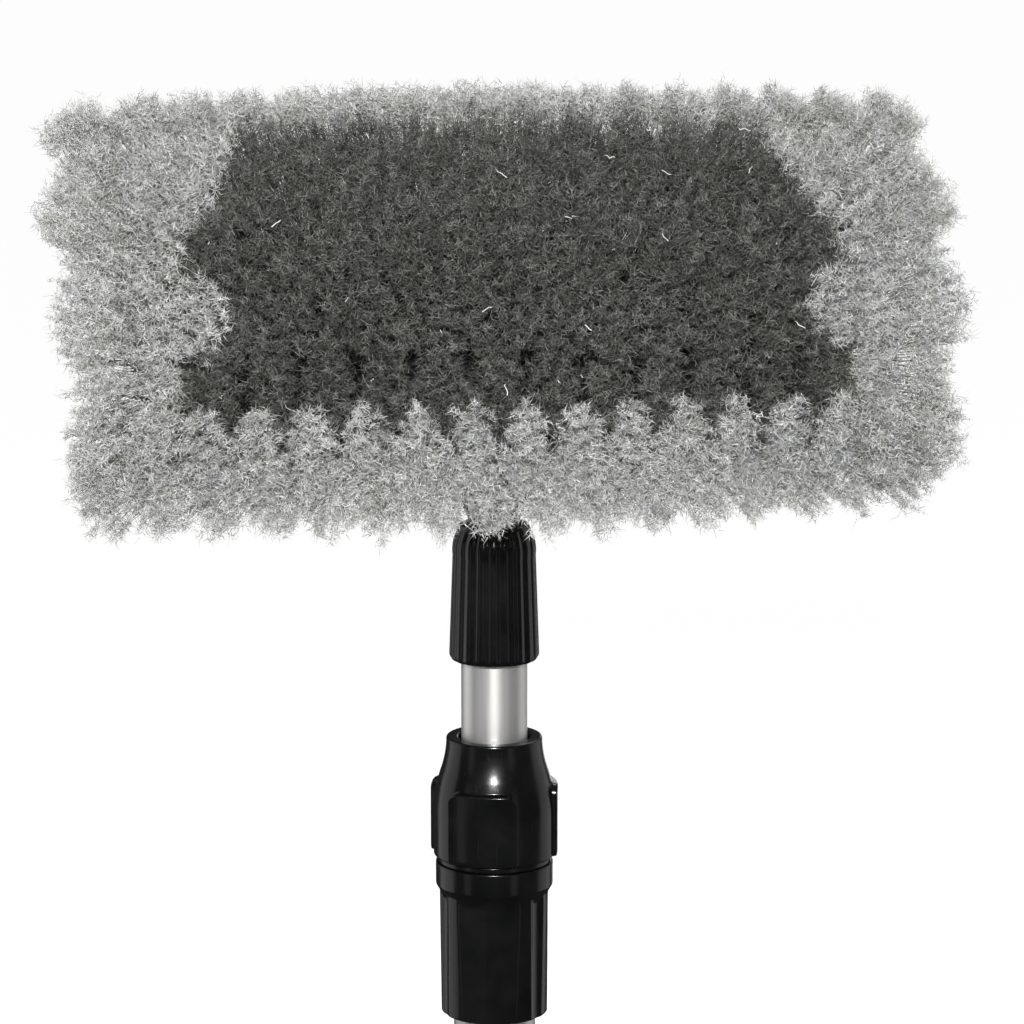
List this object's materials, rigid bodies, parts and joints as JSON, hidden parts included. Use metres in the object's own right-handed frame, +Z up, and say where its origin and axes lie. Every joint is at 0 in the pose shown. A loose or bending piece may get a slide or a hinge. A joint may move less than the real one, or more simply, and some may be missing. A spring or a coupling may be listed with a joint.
{
  "type": "window cleaning pole with brush",
  "caption": "Telescopic aluminium pole with a twist lock, a ribbed screw coupling and a wide two-tone bristle head tilted forward for washing windows.",
  "frame": {"origin": "centre of the hanging hole in the end cap, on the pole's axis", "axes": "+Z up along the pole to the brush, -Y the way the bristles face, +X to the right seen from the bristle side, along the brush"},
  "size_m": [0.3346, 0.1146, 0.9281],
  "materials": {
    "tube_aluminium": "satin",
    "gloss_black": "gloss",
    "matte_black": "matte",
    "natural_nylon": "satin",
    "steel": "satin",
    "grip_rubber": "matte",
    "light_bristle": "matte",
    "dark_bristle": "matte"
  },
  "bodies": {
    "outer_pole": {"outer_tube": "tube_aluminium", "end_cap": "matte_black", "end_cap_screws": "steel", "hand_grip": "grip_rubber", "lock_body": "gloss_black"},
    "lock_slider": {"lock_ring": "gloss_black", "grip_collet": "natural_nylon"},
    "lock_nut": {"lock_nut": "gloss_black"},
    "inner_pole": {"inner_tube": "tube_aluminium", "guide_bush": "matte_black", "bush_rivets": "steel", "thread_ferrule": "natural_nylon", "ferrule_rivets": "steel"},
    "coupling_slider": {"coupling_washer": "natural_nylon"},
    "coupling_nut": {"coupling_nut": "gloss_black"},
    "brush_head": {"brush_neck": "matte_black", "neck_screws": "steel", "brush_block": "matte_black", "tuft_anchors": "steel", "light_row_1": "light_bristle", "light_row_2": "light_bristle", "light_row_3": "light_bristle", "light_row_4": "light_bristle", "light_row_5": "light_bristle", "light_row_6": "light_bristle", "light_row_7": "light_bristle", "light_row_8": "light_bristle", "dark_row_2": "dark_bristle", "dark_row_3": "dark_bristle", "dark_row_4": "dark_bristle", "dark_row_5": "dark_bristle", "dark_row_6": "dark_bristle"}
  },
  "joints": [
    {"name": "pole_slide", "type": "slide", "parent": "outer_pole", "child": "inner_pole", "axis": [0, 0, 1], "range_m": [-0.028, 0.47]},
    {"name": "lock_rise", "type": "slide", "parent": "outer_pole", "child": "lock_slider", "axis": [0, 0, 1], "range_m": [0, 0.00095]},
    {"name": "lock_turn", "type": "hinge", "parent": "lock_slider", "child": "lock_nut", "pos_m": [0, 0, 0.64], "axis": [0, 0, 1], "range_deg": [0, 110]},
    {"name": "coupling_rise", "type": "slide", "parent": "inner_pole", "child": "coupling_slider", "axis": [0, 0, 1], "range_m": [0, 0.00045]},
    {"name": "coupling_turn", "type": "hinge", "parent": "coupling_slider", "child": "coupling_nut", "pos_m": [0, 0, 0.72], "axis": [0, 0, 1], "range_deg": [0, 60]},
    {"name": "head_turn", "type": "hinge", "parent": "inner_pole", "child": "brush_head", "pos_m": [0, 0, 0.74], "axis": [0, 0, 1], "continuous": true}
  ],
  "couplings": [
    {"joint": "lock_rise", "follows": "lock_turn", "m_per_rad": 0.00047746},
    {"joint": "coupling_rise", "follows": "coupling_turn", "m_per_rad": 0.00039789}
  ]
}
